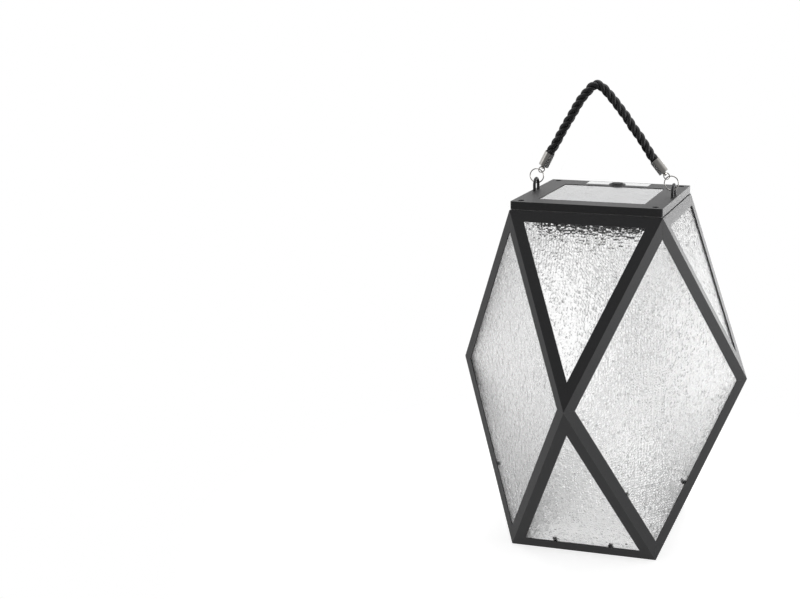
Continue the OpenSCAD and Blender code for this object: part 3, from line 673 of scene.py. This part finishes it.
# Painted shade: dark specks on a few granules and a faint mottle on all, for dark things bent into view.
speck = from_to(tree, chance[0], 0.0, SPECK_SHARE, SPECK_TONE, 0.0)
mottle = math_node(tree, "MULTIPLY", chance[1], MOTTLE_TONE)
evened = from_to(tree, slant, EVEN_FROM, EVEN_AT, 1.0, SLANT_SPOTS)
painted_specks = math_node(tree, "MULTIPLY", math_node(tree, "ADD", speck, mottle), evened)
# Painted shade: the pane's colour darkens at a steep slant.
painted_slant_shade = from_to(tree, slant, DARK_FROM, DARK_AT, 0.0, SLANT_TONE, "SMOOTHSTEP")
glass_painted_shade = math_node(tree, "MULTIPLY", math_node(tree, "ADD", painted_specks, painted_slant_shade), entering)
tone = mixed(tree, glass_painted_shade, rgb(1, 1, 1), rgb(0, 0, 0))
tree.links.new(tone, shader.inputs["Base Color"])
finishes["hammered_glass"] = hammered
print("hammered glass made")

# %% [markdown]
# ## Cover glass
# The solar panel lies under a flat sheet of glass. It could share the panes' material with its granules
# turned off, but a short material of its own is easier to read: clear, with an uneven film that softens
# what it reflects.

# %% Cover glass
cover, tree, shader = new_finish("cover_glass", Transmission_Weight=1.0, IOR=1.52)
film = use_group(tree, film_group, {"Size": 18 * MM, "Low": 0.11, "High": 0.14})["Value"]
tree.links.new(film, shader.inputs["Roughness"])
haze = use_group(tree, film_group, {"Size": 12 * MM, "Low": 0.0, "High": 1.0})["Value"]
tone = mixed(tree, haze, rgb(0.95, 0.96, 0.965), rgb(0.98, 0.985, 0.99))
tree.links.new(tone, shader.inputs["Base Color"])
finishes["cover_glass"] = cover
print("cover glass made")

# %% [markdown]
# ## Solar cells
# Under the cover lie dark blue silicon strips, crossed by thin silver fingers and three wider bus bars. The
# lines could be thin strips of mesh, but they are flat print, so the material draws them: positions on the
# panel are folded into one repeat, and each line is where the folded position is near zero.

# %% Solar cells
CELL_STRIPS = 6
CELL_GAP = 0.8 * MM
FINGER_PITCH, FINGER_WIDTH = 2.4 * MM, 0.22 * MM
BUS_BARS = 3
BUS_WIDTH = 1.6 * MM
CRYSTALS_PER_METRE = 140.0
cells_low, cells_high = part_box("solar_cells")
cell_pitch = (cells_high.y - cells_low.y) / CELL_STRIPS
bus_pitch = (cells_high.x - cells_low.x) / BUS_BARS

silicon, tree, shader = new_finish("solar_silicon", Coat_Weight=1.0, Coat_Roughness=0.15)
place = own_place(tree)
axis = put(tree, "ShaderNodeSeparateXYZ", {0: place}).outputs


def stripe(position, start, pitch, width):
    """1 on lines of that width, repeated at that pitch."""
    shifted = math_node(tree, "SUBTRACT", position, start)
    folded = math_node(tree, "PINGPONG", shifted, pitch / 2)
    return math_node(tree, "LESS_THAN", folded, width / 2)


fingers = stripe(axis["X"], cells_low.x, FINGER_PITCH, FINGER_WIDTH)
buses = stripe(axis["X"], cells_low.x + bus_pitch / 2, bus_pitch, BUS_WIDTH)
gaps = stripe(axis["Y"], cells_low.y, cell_pitch, CELL_GAP)
crystal = put(tree, "ShaderNodeTexVoronoi", {"Vector": place, "Scale": CRYSTALS_PER_METRE}).outputs["Color"]
crystal_tone = put(tree, "ShaderNodeSeparateColor", {0: crystal}).outputs[0]
blue = mixed(tree, crystal_tone, rgb(0.008, 0.012, 0.03), rgb(0.016, 0.024, 0.055))
silver = math_node(tree, "MAXIMUM", fingers, buses)
lined = mixed(tree, silver, blue, rgb(0.5, 0.51, 0.52))
printed = mixed(tree, gaps, lined, rgb(0.02, 0.02, 0.022))
tree.links.new(printed, shader.inputs["Base Color"])
cell_gloss = from_to(tree, crystal_tone, 0.0, 1.0, 0.22, 0.34)
tree.links.new(cell_gloss, shader.inputs["Roughness"])
finishes["solar_silicon"] = silicon
print(f"solar cells: strips {cell_pitch / MM:.1f} mm deep, fingers every {FINGER_PITCH / MM:.1f} mm")

# %% [markdown]
# ## Finishes on the pieces
# Each CAD node names a material slot in the record, so one loop dresses them all, and the new pieces get
# theirs one by one. Sheet steel and mouldings also get a very small Bevel, because no real edge is a razor:
# it catches a thin line of light along every fold. Weld comes first, since the imported solids have split
# edges, and Weighted Normal keeps the flat faces flat.

# %% Finishes on the pieces
for entry in frame["record"]["subparts"]:
    node = cad_nodes[entry["node"]]
    node.data.materials.clear()
    node.data.materials.append(finishes[entry["material_slot"]])
for pane in panes.values():
    pane.data.materials.append(finishes["hammered_glass"])
rope.data.materials.append(finishes["rope_fibre"])

MERGE_DISTANCE = 0.002 * MM
SHARP_ANGLE = math.radians(28)
edge_width_mm = {
    "upper_frame": 0.45, "lower_frame": 0.45, "lid_seat_ring": 0.2, "base_ring": 0.2, "solar_lid": 0.4,
    "button_bezel": 0.25, "electronics_housing": 0.4,
}
softened = 0
for name, node in cad_nodes.items():
    width = next((w for start, w in edge_width_mm.items() if name.startswith(start)), None)
    if width is None:
        continue
    weld = node.modifiers.new("weld", "WELD")
    weld.merge_threshold = MERGE_DISTANCE
    bevel = node.modifiers.new("soft edges", "BEVEL")
    bevel.width = width * MM
    bevel.segments = 2
    bevel.limit_method = "ANGLE"
    bevel.angle_limit = SHARP_ANGLE
    bevel.use_clamp_overlap = True
    node.modifiers.new("flat faces", "WEIGHTED_NORMAL")
    softened += 1
print(f"soft edges on {softened} CAD nodes")

# %% [markdown]
# ## White room
# The lantern stands on a white sweep with a darker room in front of it, as in a product studio. A panorama
# picture could light it, but a few nodes and lamps say the same and can be changed. What the camera and the
# glass see is plain white. Gloss sees white behind and a shaded front, which keeps black paint black. The
# light that spreads onto dull surfaces is weaker again, since most of it comes from the lamps.

# %% White room
FRONT_SHADE = 0.3
SHADE_FROM, SHADE_TO = -0.75, 0.35
AMBIENT = 0.42
WHITE = rgb(1, 1, 1)


def seen_white(tree):
    """1 for rays from the camera or through glass; 1 for rays through glass; 1 for glossy rays."""
    path = put(tree, "ShaderNodeLightPath").outputs
    through = path["Is Transmission Ray"]
    return math_node(tree, "MAXIMUM", path["Is Camera Ray"], through), through, path["Is Glossy Ray"]


world = bpy.data.worlds.new("white room")
world.use_nodes = True
bpy.context.scene.world = world
tree = world.node_tree
tree.nodes.clear()
white, _, gloss = seen_white(tree)
direction = put(tree, "ShaderNodeTexCoord").outputs["Generated"]
to_back = put(tree, "ShaderNodeSeparateXYZ", {0: direction}).outputs["Y"]
shaded = from_to(tree, to_back, SHADE_FROM, SHADE_TO, FRONT_SHADE, 1.0, "SMOOTHSTEP")
around = math_node(tree, "MULTIPLY", shaded, from_to(tree, gloss, 0.0, 1.0, AMBIENT, 1.0))
strength = math_node(tree, "MAXIMUM", around, white)
sky = put(tree, "ShaderNodeBackground", {"Color": WHITE, "Strength": strength})
put(tree, "ShaderNodeOutputWorld", {"Surface": sky.outputs[0]})
print("white room made")

# %% [markdown]
# ## Floor
# The floor is a wide plane. A Shadow Catcher would keep only the shadow, but then the glass and the metal
# would see no floor. So the camera sees a pale, lifted paint that keeps a soft shadow and turns into plain
# white further out, where no line shows its end. Through the glass the paint goes on, with a painted shade
# under the lantern, where its lift is lower. Gloss sees it bright behind the lantern and dim in front of it,
# and all other light meets the paint, painted darker towards the front.

# %% Floor plane
FLOOR_REACH = 6.0
FLOOR_CLEARANCE = 0.3 * MM
floor_mesh = bpy.data.meshes.new("floor")
signs = ((-1, -1), (1, -1), (1, 1), (-1, 1))
floor_corners = [(x * FLOOR_REACH, y * FLOOR_REACH, 0) for x, y in signs]
floor_mesh.from_pydata(floor_corners, [], [(0, 1, 2, 3)])
floor = bpy.data.objects.new("floor", floor_mesh)
floor.location.z = -FLOOR_CLEARANCE
bpy.context.scene.collection.objects.link(floor)
floor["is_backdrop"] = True
print(f"floor {2 * FLOOR_REACH:.0f} m wide")

# %% Floor paint
PAINT = rgb(0.5, 0.5, 0.5)
LIFT = 0.78
LIFT_UNDER_LANTERN = 0.65
UNDER_FROM, UNDER_TO = 0.1, 0.5
WHITE_FROM, WHITE_AT = 0.18, 0.45
MIRRORED_SHARE = 0.6
BACK_TONE = 0.85
FRONT_Y, BACK_Y = -1.3, -0.1
floor_paint = bpy.data.materials.new("pale_floor")
floor_paint.use_nodes = True
tree = floor_paint.node_tree
tree.nodes.clear()
white, through, gloss = seen_white(tree)
place = own_place(tree)
from_front = put(tree, "ShaderNodeSeparateXYZ", {0: place}).outputs["Y"]
distance = put(tree, "ShaderNodeVectorMath", {0: place}, operation="LENGTH").outputs["Value"]


def plain_glow(strength):
    return put(tree, "ShaderNodeEmission", {"Color": WHITE, "Strength": strength}).outputs[0]


def either(share, first, second):
    return put(tree, "ShaderNodeMixShader", {0: share, 1: first, 2: second}).outputs[0]


# Painted shade: for gloss and dull light the floor's colour darkens towards the front.
depth = from_to(tree, from_front, FRONT_Y, BACK_Y, FRONT_SHADE, BACK_TONE, "SMOOTHSTEP")
paint = put(tree, "ShaderNodeBsdfDiffuse", {"Color": depth}).outputs[0]
unseen = either(gloss, paint, either(MIRRORED_SHARE, paint, plain_glow(depth)))
# Painted shade: seen through the glass, the floor's lift is lower near the lantern.
under = from_to(tree, distance, UNDER_FROM, UNDER_TO, LIFT_UNDER_LANTERN, LIFT, "SMOOTHSTEP")
shadowed = put(tree, "ShaderNodeBsdfDiffuse", {"Color": PAINT}).outputs[0]
lift = plain_glow(from_to(tree, through, 0.0, 1.0, LIFT, under))
near = put(tree, "ShaderNodeAddShader", {0: shadowed, 1: lift}).outputs[0]
far = from_to(tree, distance, WHITE_FROM, WHITE_AT, 0.0, 1.0, "SMOOTHSTEP")
plain_white = math_node(tree, "MULTIPLY", far, math_node(tree, "SUBTRACT", 1.0, through))
choice = either(white, unseen, either(plain_white, near, plain_glow(1.0)))
put(tree, "ShaderNodeOutputMaterial", {"Surface": choice})
floor_mesh.materials.append(floor_paint)
print("floor painted")

# %% [markdown]
# ## Softboxes
# Five softboxes give the gradients on the black paint. Spot or sun lamps would give hard streaks, so all
# are wide rectangles: a ceiling, a weak one high behind, a low one behind on the right, whose glancing
# reflection turns the lid and the right-hand rails pale, and one on each side. A lamp's brightness is given
# per area, so that its size can be changed without a change of tone. The camera and the glass don't see the
# lamps.

# %% Softboxes


def softbox(name, place, aim, size, radiance):
    light = bpy.data.lights.new(name, "AREA")
    light.shape = "RECTANGLE"
    light.size, light.size_y = size
    light.energy = radiance * math.pi * size[0] * size[1]
    lamp = bpy.data.objects.new(name, light)
    lamp.location = place
    lamp.rotation_euler = (Vector(aim) - Vector(place)).to_track_quat("-Z", "Y").to_euler()
    lamp.visible_camera = False
    lamp.visible_transmission = False
    bpy.context.scene.collection.objects.link(lamp)
    print(f"{name}: {size[0]:.1f} by {size[1]:.1f} m")


softbox("ceiling softbox", (-0.1, 0.3, 1.9), (0, 0, 0.2), (1.8, 1.6), 1.6)
softbox("rear softbox", (-0.3, 2.0, 0.7), (-0.05, 0, 0.35), (2.0, 0.9), 0.2)
softbox("low softbox", (0.5, 1.35, 0.15), (0.05, 0, 0.3), (1.3, 0.5), 3.7)
softbox("left softbox", (-1.3, -0.6, 0.45), (0, 0, 0.2), (0.7, 1.2), 0.9)
softbox("right softbox", (1.5, -0.1, 0.4), (0, 0, 0.15), (1.3, 0.8), 3.5)

# %% [markdown]
# ## Size
# The dressed lantern's box is measured against the CAD model's box, and the largest growth is printed.
# The dressed lantern must stay inside the CAD model's box.

# %% Size
bpy.context.view_layer.update()
seen_low, seen_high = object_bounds()
growth = max(max(cad_low - seen_low), max(seen_high - cad_high))
print(f"largest growth of the box: {growth / MM:.2f} mm")
